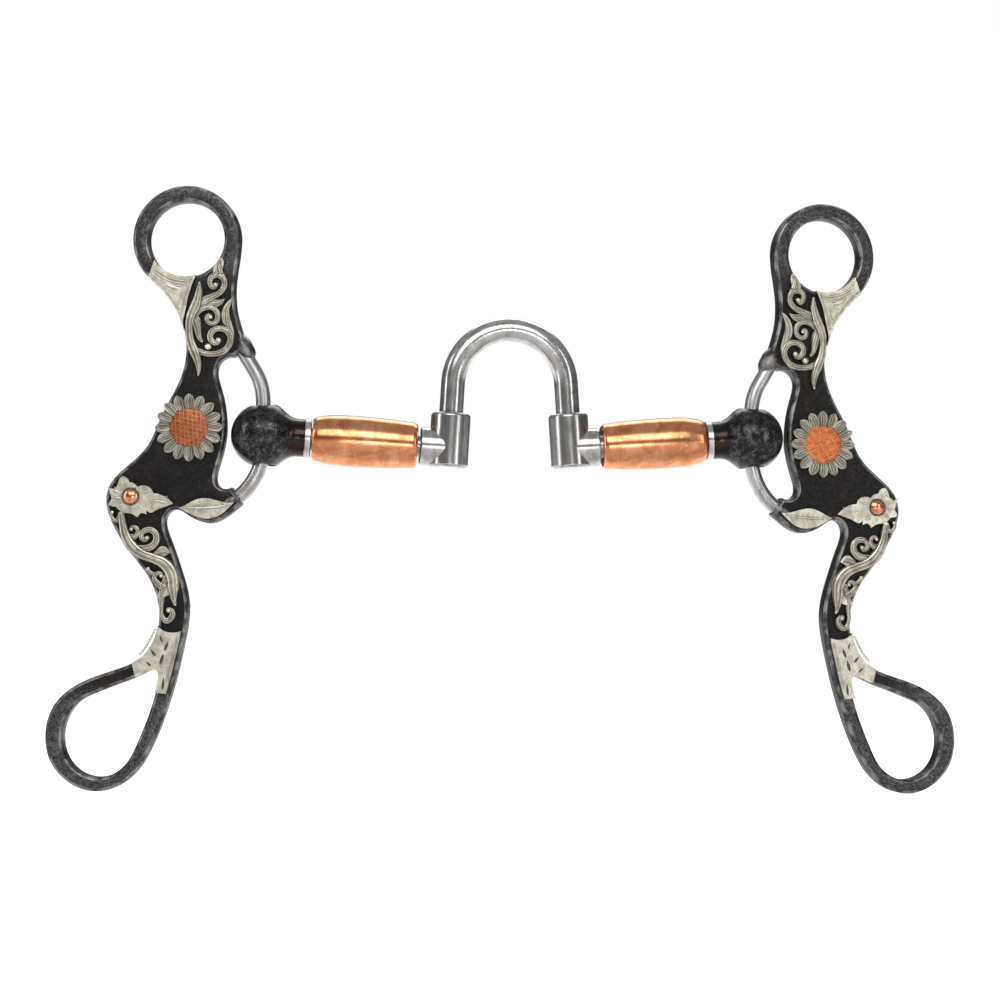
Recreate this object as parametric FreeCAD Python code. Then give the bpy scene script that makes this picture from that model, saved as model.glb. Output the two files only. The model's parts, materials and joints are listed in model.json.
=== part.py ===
import FreeCAD, Part
import math
import os

# Western curb bit: two swinging cheeks on a jointed, copper-barred correction mouthpiece.
#
# Frame: X across the horse's mouth, +Z up towards the headstall rings, and the decorated
# faces look towards -Y. The origin is the middle of the mouthpiece, halfway between the two
# ball hubs. Each cheek is drawn once as a right-hand cheek in its own (u, v) plane, where u
# runs outwards from the loop rod's axis and v runs up, and is then turned, mirrored and placed.

os.makedirs("parts", exist_ok=True)
V = FreeCAD.Vector

# ---- overall sizes, mm -------------------------------------------------------------
HUB_X = 66.0               # mouth centre to each ball hub's vertical axis
PLATE_T = 5.0              # cheek plate thickness
EDGE_R = 0.8               # bevel filed on the plate's edges
ROD_R = 1.95               # bright rod that closes the D of the cheek
OVERLAY_T = 0.9            # silver overlays stand this proud of the plate
SEAT = 0.9                 # depth to which the two edge-to-edge panels are let in
CHEEK_TILT = 7.0           # degrees, outer edge of a splayed cheek away from the front

# each cheek can slide on its ball hub, and the sunflowers were soldered on by eye
SIDES = {
    "left": {"slide": 1.1, "sunflower_v": 0.8},
    "right": {"slide": -1.1, "sunflower_v": -0.4},
}

# ---- mouthpiece, mm ----------------------------------------------------------------
LEAN = 3.5                 # degrees: bars fall this much towards the port
PORT_R = 15.3              # radius of the port's arch, to the wire's centre
PORT_Z = 13.7              # height of the arch's centre
WIRE_R = 3.2               # port wire
BARREL_R = 5.3             # elbow barrel round the port leg
BARREL_UP = 9.3            # barrel above the bar's axis
BARREL_DOWN = 5.4          # barrel below the bar's axis
ARM_R = 5.15               # elbow's sideways arm
ARM_END = 7.85             # port leg axis to the end of the arm
ROUND = 0.9                # rounds on the elbow's ends
WEB_T = 2.6                # floor of the barrel that the peened tenon holds
TENON_R = 2.0
HEAD_R = 3.0
HEAD_T = 1.1
RUN_FIT = 0.08             # radial clearance of every turning fit
CORE_R = 3.0               # steel core inside the copper
BALL_R = 8.5
NECK_R = 5.05
NECK_END = 11.0            # ball centre to the end of the neck
COLLAR_T = 1.8
COLLAR_R = 5.25
ROLLER_START = 13.1        # ball centre to the copper's outer end
ROLLER_END = 41.1
LAND_HALF = 2.0            # straight part of the ball's bore
FLARE_R = 3.9              # bore radius where it opens at the ball's surface


# ---- drawing helpers ---------------------------------------------------------------
def at(u, v, y=0.0):
    return V(u, y, v)


def spline(points, closed=False):
    """A smooth edge through (u, v) points."""
    curve = Part.BSplineCurve()
    curve.interpolate(Points=[at(u, v) for u, v in points], PeriodicFlag=closed)
    return curve.toShape()


def line(a, b):
    return Part.LineSegment(at(*a), at(*b)).toShape()


def arc(a, b, c):
    return Part.Arc(at(*a), at(*b), at(*c)).toShape()


def face_of(edges):
    return Part.Face(Part.Wire(Part.__sortEdges__(edges)))


def slab(face, front, back):
    """Prism of a face drawn in the y = 0 plane, from y = front to y = back."""
    moved = face.copy()
    moved.translate(V(0, front, 0))
    return moved.extrude(V(0, back - front, 0))


def stretches(*runs):
    """Closed face from smooth runs that meet at corners; two points make a straight run."""
    edges = []
    for run in runs:
        edges.append(line(*run) if len(run) == 2 else spline(run))
    return face_of(edges)


def ribbon(path, widths, steps=4):
    """Face of a scroll stem: a smooth path whose width runs through the given widths."""
    curve = spline(path).Curve
    marks = [curve.parameter(at(u, v)) for u, v in path]
    left, right = [], []
    for i in range(len(path) - 1):
        for k in range(steps):
            share = k / steps
            t = marks[i] + (marks[i + 1] - marks[i]) * share
            width = widths[i] + (widths[i + 1] - widths[i]) * share
            offset_pair(curve, t, width, left, right)
    offset_pair(curve, marks[-1], widths[-1], left, right)
    first, last = curve.value(marks[0]), curve.value(marks[-1])
    back = heading(curve, marks[0]) * (-widths[0] / 2)
    ahead = heading(curve, marks[-1]) * (widths[-1] / 2)
    caps = [
        Part.Arc(left[-1], last + ahead, right[-1]).toShape(),
        Part.Arc(right[0], first + back, left[0]).toShape(),
    ]
    sides = []
    for side in (left, right):
        edge = Part.BSplineCurve()
        edge.interpolate(Points=side)
        sides.append(edge.toShape())
    return face_of([sides[0], caps[0], sides[1], caps[1]])


def heading(curve, t):
    """Unit direction of travel of a curve at one of its parameters."""
    along = curve.getD1(t)[1]
    return along.normalize()


def offset_pair(curve, t, width, left, right):
    along = heading(curve, t)
    across = V(along.z, 0, -along.x) * (width / 2)
    left.append(curve.value(t) + across)
    right.append(curve.value(t) - across)


def overlay(faces, seat=0.0):
    """Silver cut-outs, fused where they cross, standing proud of the plate's front."""
    front = -PLATE_T / 2 - OVERLAY_T
    solids = [slab(face, front, -PLATE_T / 2 + seat) for face in faces]
    body = solids[0]
    for solid in solids[1:]:
        body = body.fuse(solid)
    return body.removeSplitter()


def disc(u, v, radius):
    return Part.Face(Part.Wire(Part.makeCircle(radius, at(u, v), V(0, 1, 0))))


# ---- the cheek plate ---------------------------------------------------------------
RING_CENTRE = (20.5, 51.4)
RING_OUT = 14.4
RING_HOLE = 10.2
RING_IN_POINT = (6.15, 49.9)         # where the ring runs into the neck's inner edge
RING_OUT_POINT = (30.7, 41.2)        # where the ring runs into the outer edge


OUTER_EDGE = [                       # ring, neck, knee, shank, round the rein loop, notch, lug
    RING_OUT_POINT, (28.9, 39.5), (26.6, 37.3), (24.2, 34.2), (22.2, 30.7), (20.75, 26.0), (20.4, 21.5),
    (21.1, 16.5), (23.2, 11.2), (26.9, 4.1), (28.65, -0.1), (30.4, -3.6), (32.7, -6.4),
    (35.65, -9.0), (38.65, -11.7), (40.6, -14.3), (41.5, -17.2), (41.5, -19.8),
    (40.6, -22.9), (37.15, -29.4), (34.05, -33.6), (31.2, -37.2), (28.9, -41.2),
    (27.6, -45.0), (27.15, -49.5), (27.55, -53.0), (28.7, -56.2), (30.8, -59.3),
    (34.4, -61.7), (41.0, -64.1), (47.6, -66.6), (51.8, -69.2), (55.1, -72.8),
    (57.1, -78.0), (57.3, -82.5), (55.9, -87.8), (52.8, -91.8), (48.6, -94.5),
    (43.8, -95.5), (39.2, -94.7), (35.0, -92.2), (31.8, -88.7), (29.7, -85.1),
    (26.7, -78.3), (24.4, -71.6), (22.55, -65.0), (21.0, -58.0), (19.85, -52.0),
    (19.5, -47.3), (20.15, -42.2), (21.75, -36.8), (24.5, -29.0), (25.6, -26.0),
    (25.85, -24.0), (25.2, -22.1), (23.6, -20.95), (21.8, -21.1), (19.3, -22.6),
    (16.5, -24.0), (13.8, -24.5), (11.0, -23.7), (8.0, -21.7), (5.3, -19.5),
]
LUG_END = (8.05, -15.05)
D_EDGE = [                           # plate's side of the D opening, bottom to top
    LUG_END, (10.2, -15.4), (11.8, -14.5), (12.35, -12.5), (11.8, -9.8), (10.5, -5.2),
    (9.75, -0.5), (9.85, 4.0), (10.9, 10.0), (12.0, 13.8), (12.3, 15.8), (11.6, 18.2),
    (9.9, 19.6), (7.8, 19.75),
]
NECK_EDGE = [                        # inner edge of the neck, up into the ring
    (3.6, 22.5), (4.75, 24.4), (5.95, 27.7), (7.0, 31.5), (7.45, 35.0), (7.5, 38.5),
    (7.1, 42.5), (6.5, 46.5), RING_IN_POINT,
]
REIN_OPENING = [
    (28.3, -63.2), (30.6, -64.1), (33.7, -65.6), (38.0, -67.2), (44.1, -69.6),
    (47.9, -71.4), (51.1, -75.0), (52.7, -80.0), (51.9, -85.7), (48.5, -90.0),
    (43.2, -91.8), (39.0, -90.8), (35.5, -87.9), (32.9, -83.1), (30.0, -76.0),
    (28.2, -70.3), (27.2, -66.2), (27.2, -64.1),
]
ROD_LOW, ROD_HIGH = -4.0, 7.8        # ends of the rod's upright stretch, where the ball hub rides
ROD_LOW_BEND = (17.2, 63.0)          # radius and degrees of the bend under it
ROD_HIGH_BEND = (16.0, 31.0)         # and of the bend over it
ROD_TOP = 9.8                        # straight rod from the upper bend to its weld


def plate_runs():
    """The plate's boundary, clockwise, as (kind, points) runs."""
    top = (RING_CENTRE[0], RING_CENTRE[1] + RING_OUT)
    return [
        ("arc", [RING_IN_POINT, top, RING_OUT_POINT]),
        ("curve", OUTER_EDGE),
        ("line", [OUTER_EDGE[-1], LUG_END]),
        ("curve", D_EDGE),
        ("line", [D_EDGE[-1], NECK_EDGE[0]]),
        ("curve", NECK_EDGE),
    ]


def run_edge(run):
    kind, points = run
    if kind == "arc":
        return arc(*points)
    if kind == "line":
        return line(*points)
    return spline(points)


def side_of(edge, point):
    """Unit normal to the right of a boundary edge at one of its points."""
    t = edge.Curve.parameter(at(*point))
    along = heading(edge.Curve, t)
    if edge.Orientation == "Reversed":
        along = along * -1
    return along.z, -along.x


def corner_shift(one, two, inset):
    """Where a corner goes when both edges that meet there move in by the inset."""
    share = inset / (1 + one[0] * two[0] + one[1] * two[1])
    return (one[0] + two[0]) * share, (one[1] + two[1]) * share


def inset_runs(runs, inset):
    """The same boundary moved inwards, run by run, with mitred corners."""
    edges = [run_edge(run) for run in runs]
    moved = []
    for i, run in enumerate(runs):
        kind, points = run
        ends = []
        for point, other in ((points[0], edges[i - 1]), (points[-1], edges[(i + 1) % len(runs)])):
            shift = corner_shift(side_of(edges[i], point), side_of(other, point), inset)
            ends.append((point[0] + shift[0], point[1] + shift[1]))
        inner = []
        for point in points[1:-1]:
            normal = side_of(edges[i], point)
            inner.append((point[0] + normal[0] * inset, point[1] + normal[1] * inset))
        moved.append((kind, [ends[0]] + inner + [ends[1]]))
    return moved


def wire_of(runs, y):
    wire = Part.Wire(Part.__sortEdges__([run_edge(run) for run in runs]))
    wire.translate(V(0, y, 0))
    return wire


def plate_face():
    return Part.Face(wire_of(plate_runs(), 0))


def rein_wire(grow, y):
    """The rein loop's opening, grown all round by the given amount."""
    edge = spline(REIN_OPENING, closed=True)
    points = []
    for point in REIN_OPENING:
        normal = side_of(edge, point)
        points.append((point[0] - normal[0] * grow, point[1] - normal[1] * grow))
    wire = Part.Wire(spline(points, closed=True))
    wire.translate(V(0, y, 0))
    return wire


def cheek_prism():
    """The plate's full outline with its two openings, edges still square."""
    half = PLATE_T / 2
    prism = slab(plate_face(), -half, half)
    prism = prism.cut(slab(disc(*RING_CENTRE, RING_HOLE), -half - 1, half + 1))
    return prism.cut(slab(Part.Face(rein_wire(0, 0)), -half - 1, half + 1))


def bevelled_plate():
    """The plate with its edges filed off at 45 degrees, front and back."""
    half = PLATE_T / 2
    shoulder = half - EDGE_R
    runs = plate_runs()
    inner = inset_runs(runs, EDGE_R)
    plate = slab(plate_face(), -shoulder, shoulder)
    for y in (-1, 1):
        rim = Part.makeLoft([wire_of(runs, y * shoulder), wire_of(inner, y * half)], True, True)
        plate = plate.fuse(rim)
    tools = [slab(disc(*RING_CENTRE, RING_HOLE), -half - 1, half + 1)]
    tools.append(slab(Part.Face(rein_wire(0, 0)), -half - 1, half + 1))
    centre = at(*RING_CENTRE)
    for y in (-1, 1):
        wide = RING_HOLE + EDGE_R * 2
        cone = Part.makeCone(RING_HOLE, wide, EDGE_R * 2, centre + V(0, y * shoulder, 0), V(0, y, 0))
        mouth = [rein_wire(0, y * shoulder), rein_wire(EDGE_R * 2, y * (shoulder + EDGE_R * 2))]
        tools += [cone, Part.makeLoft(mouth, True, True)]
    for tool in tools:
        plate = plate.cut(tool)
    return plate


def bend(start_v, radius, degrees, way):
    """Ends and middle of a rod bend that leaves the upright at start_v; way is up or down."""
    points = []
    for part in (0.0, 0.5, 1.0):
        angle = math.radians(degrees * part)
        points.append((radius * (1.0 - math.cos(angle)), start_v + way * radius * math.sin(angle)))
    return points


def rod():
    """Round rod swept along the open side of the D: bend, upright, bend and straight."""
    lower = bend(ROD_LOW, ROD_LOW_BEND[0], ROD_LOW_BEND[1], -1.0)
    upper = bend(ROD_HIGH, ROD_HIGH_BEND[0], ROD_HIGH_BEND[1], 1.0)
    lean = math.radians(ROD_HIGH_BEND[1])
    top = (upper[2][0] + ROD_TOP * math.sin(lean), upper[2][1] + ROD_TOP * math.cos(lean))
    path = Part.Wire([
        arc(lower[2], lower[1], lower[0]),
        line(lower[0], upper[0]),
        arc(upper[0], upper[1], upper[2]),
        line(upper[2], top),
    ])
    foot = math.radians(ROD_LOW_BEND[1])
    ring = Part.Wire(Part.makeCircle(ROD_R, at(*lower[2]), at(-math.sin(foot), math.cos(foot))))
    return path.makePipeShell([ring], True, True)


# ---- silver overlays ---------------------------------------------------------------
def ring_panel(prism):
    """Engraved corner panel, filed flush with the ring's hole and the outer edge."""
    wedge = stretches(
        [(28.2, 47.4), (32.0, 37.0)],
        [(32.0, 37.0), (20.0, 26.0)],
        [(20.0, 26.0), (21.0, 29.8), (20.5, 32.0), (19.8, 35.6), (18.7, 39.1), (16.6, 44.5)],
        [(16.6, 44.5), (28.2, 47.4)],
    )
    return panel_from(prism, wedge)


def rein_panel(prism):
    """Y-shaped panel over the fork of the rein loop, square to the outer edges."""
    wedge = stretches(
        [(29.0, -50.2), (27.2, -51.9), (25.6, -53.1), (23.6, -53.55), (21.1, -53.1)],
        [(21.1, -53.1), (21.5, -55.5), (22.3, -59.0), (23.2, -63.0), (24.1, -66.6), (25.0, -69.7)],
        [(25.0, -69.7), (29.5, -69.2)],
        [(29.5, -69.2), (29.0, -65.2), (29.6, -63.9), (31.2, -64.3), (33.2, -65.2)],
        [(33.2, -65.2), (34.6, -59.5)],
        [(34.6, -59.5), (29.0, -50.2)],
    )
    return panel_from(prism, wedge)


def panel_from(prism, wedge):
    """Keep the part of the plate's own outline under the wedge, let in and proud."""
    front = -PLATE_T / 2 - OVERLAY_T
    tall = prism.fuse(moved_by(prism, V(0, -PLATE_T, 0)))
    return tall.common(slab(wedge, front, -PLATE_T / 2 + SEAT)).removeSplitter()


def moved_by(shape, step):
    copy = shape.copy()
    copy.translate(step)
    return copy


PETALS = 16
PETAL_TIP = 9.1
PETAL_SHOULDER = 8.4
PETAL_VALLEY = 6.9
DISC_R = 5.5
DISC_CROWN = 1.5           # the copper centre rises this far over the plate
SUNFLOWER_U = 19.3


def petal_radii(turns):
    """Distance from the centre at a petal's valley, shoulder and tip."""
    sizes = {0.5: PETAL_VALLEY, 0.3: PETAL_SHOULDER, 0.0: PETAL_TIP}
    return [sizes[abs(turn)] for turn in turns]


def sunflower(v):
    """Ring of pointed oval petals round the copper centre."""
    edges = []
    step = 2 * math.pi / PETALS
    for k in range(PETALS):
        for turns in ((-0.5, -0.3, 0.0), (0.0, 0.3, 0.5)):
            flank = []
            for turn, radius in zip(turns, petal_radii(turns)):
                angle = (k + turn) * step
                flank.append((SUNFLOWER_U + radius * math.cos(angle), v + radius * math.sin(angle)))
            edges.append(spline(flank))
    petals = overlay([face_of(edges)])
    hole = slab(disc(SUNFLOWER_U, v, DISC_R), -PLATE_T, -PLATE_T / 2)
    return petals.cut(hole)


def crowned(u, v, radius, rise):
    """Button with a spherical face, standing on the plate's front."""
    base = -PLATE_T / 2
    rim = 0.55 * rise
    crown = rise - rim
    ball_r = (radius ** 2 + crown ** 2) / (2 * crown)
    ball = Part.makeSphere(ball_r, V(u, base - rise + ball_r, v))
    return slab(disc(u, v, radius), base - rise, base).common(ball)


BEAD = (34.8, -17.5)
BEAD_R = 2.05


def lug_leaf():
    """Willow leaf along the lower lug."""
    leaf = stretches(
        [(21.8, -20.5), (19.6, -19.5), (17.3, -18.35), (14.8, -17.95), (12.0, -18.5), (7.2, -19.1)],
        [(7.2, -19.1), (9.0, -20.9), (11.2, -22.6), (14.2, -23.4), (17.0, -22.9), (21.8, -20.5)],
    )
    return overlay([leaf])


def knee_flower():
    """Wild rose with a veined leaf; the bead of copper sits in its middle."""
    flower = stretches(
        [(40.9, -15.0), (38.4, -14.7), (37.9, -13.2), (37.0, -12.1)],
        [(37.0, -12.1), (35.7, -12.6), (35.1, -13.7)],
        [(35.1, -13.7), (33.9, -14.0), (32.9, -15.0)],
        [(32.9, -15.0), (31.2, -14.6), (29.6, -15.2), (28.8, -16.6)],
        [(28.8, -16.6), (26.8, -17.0), (24.9, -18.0), (23.3, -19.4)],
        [(23.3, -19.4), (25.8, -20.3), (27.6, -21.0), (29.3, -21.8), (30.5, -21.0)],
        [(30.5, -21.0), (30.5, -22.3)],
        [(30.5, -22.3), (31.7, -21.9), (32.9, -23.1)],
        [(32.9, -23.1), (34.3, -22.2), (35.9, -21.9)],
        [(35.9, -21.9), (37.9, -21.0), (38.6, -20.2)],
        [(38.6, -20.2), (40.4, -19.6), (39.8, -18.1)],
        [(39.8, -18.1), (40.2, -16.6), (40.9, -15.0)],
    )
    body = overlay([flower])
    return body.cut(slab(disc(*BEAD, BEAD_R), -PLATE_T, 0.0))


def shank_scroll():
    """Acanthus stem that falls from the rose to a volute above the rein loop."""
    stem = ribbon(
        [(37.2, -22.3), (36.8, -24.8), (36.1, -27.6), (34.4, -30.6), (31.6, -32.8),
         (28.6, -33.9), (25.7, -35.3), (23.6, -38.2), (23.2, -42.0), (22.6, -46.2)],
        [1.7, 1.9, 2.6, 2.9, 2.6, 2.5, 3.0, 3.4, 2.9, 0.5])
    curl = ribbon(
        [(37.5, -22.9), (38.6, -23.9), (39.7, -23.0), (39.7, -21.6)],
        [1.4, 1.0, 0.9, 0.8])
    small_volute = ribbon(
        [(34.6, -28.2), (33.2, -27.9), (32.7, -26.6), (33.6, -25.6), (34.6, -26.2)],
        [1.5, 1.3, 1.1, 1.0, 0.8])
    big_volute = ribbon(
        [(33.0, -31.2), (31.0, -31.3), (28.8, -30.6), (27.7, -28.6), (28.6, -26.7),
         (30.5, -26.4), (31.8, -27.8), (31.0, -29.0), (30.0, -28.4)],
        [1.6, 1.9, 2.0, 1.8, 1.6, 1.5, 1.4, 1.2, 0.8])
    thorn = stretches(
        [(27.4, -31.4), (26.4, -30.7), (24.0, -32.4)],
        [(24.0, -32.4), (25.3, -33.2), (26.6, -34.0)],
        [(26.6, -34.0), (28.6, -33.4), (27.4, -31.4)],
    )
    lower_lobe = stretches(
        [(25.9, -38.6), (26.4, -40.4), (27.5, -41.3)],
        [(27.5, -41.3), (26.9, -42.6), (27.3, -43.6), (26.9, -44.8)],
        [(26.9, -44.8), (25.6, -44.2), (24.3, -43.6)],
        [(24.3, -43.6), (23.4, -41.0), (24.0, -38.4), (25.9, -38.6)],
    )
    hook = ribbon(
        [(25.4, -41.8), (27.3, -40.6), (28.2, -38.8), (27.0, -37.8), (26.2, -38.7)],
        [1.8, 1.6, 1.2, 1.0, 0.8])
    tendril = ribbon(
        [(28.0, -38.2), (29.2, -37.7), (30.0, -36.6)],
        [1.0, 0.9, 0.8])
    tail = ribbon(
        [(26.2, -44.2), (26.3, -46.6), (26.1, -49.0), (25.0, -50.4), (23.6, -49.6),
         (23.4, -48.0), (24.4, -47.5)],
        [1.4, 1.1, 1.1, 1.5, 1.6, 1.4, 1.2])
    return overlay([stem, curl, small_volute, big_volute, thorn, lower_lobe, hook, tendril, tail])


def neck_scroll():
    """Acanthus crescent with three volutes and a spear between ring and D."""
    crescent = ribbon(
        [(16.8, 39.4), (16.9, 36.6), (17.7, 33.4), (19.0, 30.4), (19.4, 27.0), (19.0, 23.6),
         (17.8, 20.6), (16.9, 17.6), (16.9, 14.8)],
        [0.6, 1.9, 2.8, 2.4, 2.0, 2.2, 2.6, 1.5, 0.4])
    top_volute = ribbon(
        [(15.6, 34.4), (13.4, 35.6), (11.1, 36.9), (10.0, 39.3), (11.2, 41.3), (13.1, 41.2),
         (13.9, 39.6), (13.0, 38.2), (12.2, 38.9)],
        [2.4, 1.7, 1.5, 1.4, 1.6, 1.5, 1.4, 1.3, 1.0])
    spear = stretches(
        [(12.9, 41.6), (12.9, 43.6), (12.0, 45.0), (11.1, 46.1)],
        [(11.1, 46.1), (10.3, 45.2), (10.5, 43.6), (9.6, 41.4)],
        [(9.6, 41.4), (12.9, 41.6)],
    )
    middle_volute = ribbon(
        [(17.6, 31.2), (15.6, 32.7), (13.4, 32.8), (11.9, 31.4), (11.9, 29.5), (13.3, 28.5),
         (14.6, 29.4), (14.3, 30.6), (13.5, 30.3)],
        [1.8, 1.6, 1.4, 1.4, 1.4, 1.3, 1.2, 1.1, 0.8])
    low_volute = ribbon(
        [(17.4, 21.3), (14.8, 20.5), (11.9, 20.5), (9.4, 21.8), (8.3, 24.2), (9.1, 26.3),
         (11.3, 27.2), (13.4, 26.2), (13.6, 24.3), (12.3, 23.3), (11.3, 24.1)],
        [1.7, 1.5, 1.5, 1.6, 1.7, 1.6, 1.5, 1.6, 1.6, 1.5, 0.9])
    thorn = stretches(
        [(13.6, 35.2), (12.0, 34.9), (9.9, 35.1)],
        [(9.9, 35.1), (10.6, 33.9), (12.4, 32.9)],
        [(12.4, 32.9), (14.6, 32.8), (13.6, 35.2)],
    )
    sickle = stretches(
        [(7.95, 35.3), (8.7, 33.0), (8.6, 30.4), (7.6, 27.0), (7.5, 24.0)],
        [(7.5, 24.0), (9.0, 24.4), (9.3, 26.2), (9.5, 27.6)],
        [(9.5, 27.6), (10.6, 29.6), (10.6, 31.6), (9.6, 33.8), (7.95, 35.3)],
    )
    inner_leaf = ribbon(
        [(18.0, 30.0), (17.2, 27.6), (16.9, 25.6), (16.0, 23.9)],
        [2.4, 2.0, 1.5, 0.7])
    bead = disc(14.3, 22.3, 0.95)
    return overlay([crescent, top_volute, spear, middle_volute, low_volute, thorn, sickle,
                    inner_leaf, bead])


# ---- placing a cheek ---------------------------------------------------------------
def placed(shape, side):
    """Splay, mirror and slide a right-hand piece to its side of the bit."""
    out = shape.copy()
    out.rotate(V(0, 0, 0), V(0, 0, 1), CHEEK_TILT)
    out.translate(V(HUB_X, 0, SIDES[side]["slide"]))
    if side == "left":
        out = out.mirror(V(0, 0, 0), V(1, 0, 0))
    return out


def cheek_pieces(side):
    prism = cheek_prism()
    loop = rod()
    corner = ring_panel(prism)
    fork = rein_panel(prism)
    plate = bevelled_plate().cut(loop).cut(corner).cut(fork)
    flower_v = SIDES[side]["sunflower_v"]
    pieces = {
        "cheek_plate": plate,
        "loop_rod": loop,
        "ring_panel": corner,
        "rein_panel": fork,
        "neck_scroll": neck_scroll(),
        "sunflower_petals": sunflower(flower_v),
        "sunflower_disc": crowned(SUNFLOWER_U, flower_v, DISC_R, DISC_CROWN),
        "lug_leaf": lug_leaf(),
        "knee_flower": knee_flower(),
        "knee_bead": crowned(*BEAD, BEAD_R, 1.7),
        "shank_scroll": shank_scroll(),
    }
    return {side + "_" + name: placed(shape, side) for name, shape in pieces.items()}


# ---- mouthpiece --------------------------------------------------------------------
A = math.radians(LEAN)
LEG_TOP = V(PORT_R * math.cos(A), 0, PORT_Z + PORT_R * math.sin(A))
LEG_DOWN = V(math.sin(A), 0, -math.cos(A))
BAR_IN = V(-math.cos(A), 0, -math.sin(A))
HUB = V(HUB_X, 0, 0)
BAR_LENGTH = (LEG_TOP - HUB).dot(BAR_IN)         # ball centre to the port leg's axis
ELBOW = HUB + BAR_IN * BAR_LENGTH
LEG_LENGTH = (ELBOW - LEG_TOP).dot(LEG_DOWN)     # arch springing to the bar's axis


def turned(profile, base, axis):
    """Solid of revolution: (distance along the axis, radius) runs, smooth or straight."""
    side = V(0, 1, 0)
    edges = []
    for run in profile:
        places = [base + axis * s + side * r for s, r in run]
        if len(places) == 2:
            edges.append(Part.LineSegment(*places).toShape())
        else:
            curve = Part.BSplineCurve()
            curve.interpolate(Points=places)
            edges.append(curve.toShape())
    face = Part.Face(Part.Wire(Part.__sortEdges__(edges)))
    return face.revolve(base, axis, 360)


def port():
    """Arched wire; each leg is necked to a tenon and peened under the elbow's floor."""
    circle = Part.Face(Part.Wire(Part.makeCircle(WIRE_R, LEG_TOP, LEG_DOWN)))
    body = circle.revolve(V(0, 0, PORT_Z), V(0, -1, 0), 180 - 2 * LEAN)
    floor = LEG_LENGTH + BARREL_DOWN - WEB_T
    end = LEG_LENGTH + BARREL_DOWN
    leg = Part.makeCylinder(WIRE_R, floor - 0.1, LEG_TOP, LEG_DOWN)
    tenon = Part.makeCylinder(TENON_R, end, LEG_TOP, LEG_DOWN)
    head = Part.makeCone(TENON_R, HEAD_R, HEAD_T, LEG_TOP + LEG_DOWN * (end - HEAD_T), LEG_DOWN)
    leg = leg.fuse([tenon, head])
    return body.fuse([leg, leg.mirror(V(0, 0, 0), V(1, 0, 0))]).removeSplitter()


def elbow():
    """Barrel round the port leg with a sideways arm that carries the bar."""
    foot = ELBOW + LEG_DOWN * BARREL_DOWN
    barrel = Part.makeCylinder(BARREL_R, BARREL_UP + BARREL_DOWN, foot, -LEG_DOWN)
    barrel = barrel.makeFillet(ROUND, [edge for edge in barrel.Edges if edge.Closed])
    arm = Part.makeCylinder(ARM_R, ARM_END, ELBOW, -BAR_IN)
    body = barrel.fuse(arm).removeSplitter()
    bore_len = BARREL_UP + BARREL_DOWN - WEB_T
    bore = Part.makeCylinder(WIRE_R + RUN_FIT, bore_len + 1, foot - LEG_DOWN * WEB_T, -LEG_DOWN)
    web = Part.makeCylinder(TENON_R + RUN_FIT, WEB_T + 1, foot + LEG_DOWN * 0.5, -LEG_DOWN)
    sink = Part.makeCone(HEAD_R + RUN_FIT, TENON_R + RUN_FIT, HEAD_T + RUN_FIT, foot, -LEG_DOWN)
    socket = Part.makeCylinder(CORE_R, ARM_END, ELBOW - BAR_IN * 4.0, -BAR_IN)
    body = body.cut(bore.fuse([web, sink, socket]))
    return body.makeFillet(0.5, rim_at(body, ELBOW - BAR_IN * ARM_END, ARM_R))


def rim_at(body, centre, radius):
    """The round edge of a given radius about a given centre."""
    rims = []
    for edge in body.Edges:
        curve = edge.Curve
        if isinstance(curve, Part.Circle) and abs(curve.Radius - radius) < 1e-6:
            if curve.Center.distanceToPoint(centre) < 1e-6:
                rims.append(edge)
    return rims


def bar_core():
    """Steel core that ties elbow, collar and hub together inside the copper."""
    start = HUB + BAR_IN * NECK_END
    length = BAR_LENGTH - 4.0 - NECK_END
    return Part.makeCylinder(CORE_R, length, start, BAR_IN)


def collar():
    profile = [
        [(NECK_END, CORE_R), (NECK_END, COLLAR_R - 0.25)],
        [(NECK_END, COLLAR_R - 0.25), (NECK_END + 0.25, COLLAR_R)],
        [(NECK_END + 0.25, COLLAR_R), (NECK_END + COLLAR_T - 0.25, COLLAR_R)],
        [(NECK_END + COLLAR_T - 0.25, COLLAR_R), (NECK_END + COLLAR_T, COLLAR_R - 0.25)],
        [(NECK_END + COLLAR_T, COLLAR_R - 0.25), (NECK_END + COLLAR_T, CORE_R)],
        [(NECK_END + COLLAR_T, CORE_R), (NECK_END, CORE_R)],
    ]
    return turned(profile, HUB, BAR_IN)


def copper_roller():
    """Barrel-shaped copper roller, fullest near the cheek, slimmer towards the port."""
    bore = CORE_R + RUN_FIT
    skin = [
        (ROLLER_START, 5.25), (14.0, 5.8), (15.5, 6.2), (18.0, 6.6), (22.0, 6.8), (27.0, 6.8),
        (32.0, 6.65), (36.0, 6.45), (39.0, 6.2), (40.5, 5.95), (ROLLER_END, 5.45),
    ]
    profile = [
        [(ROLLER_START, bore), (ROLLER_START, 5.25)],
        skin,
        [(ROLLER_END, 5.45), (ROLLER_END, bore)],
        [(ROLLER_END, bore), (ROLLER_START, bore)],
    ]
    return turned(profile, HUB, BAR_IN)


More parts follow.
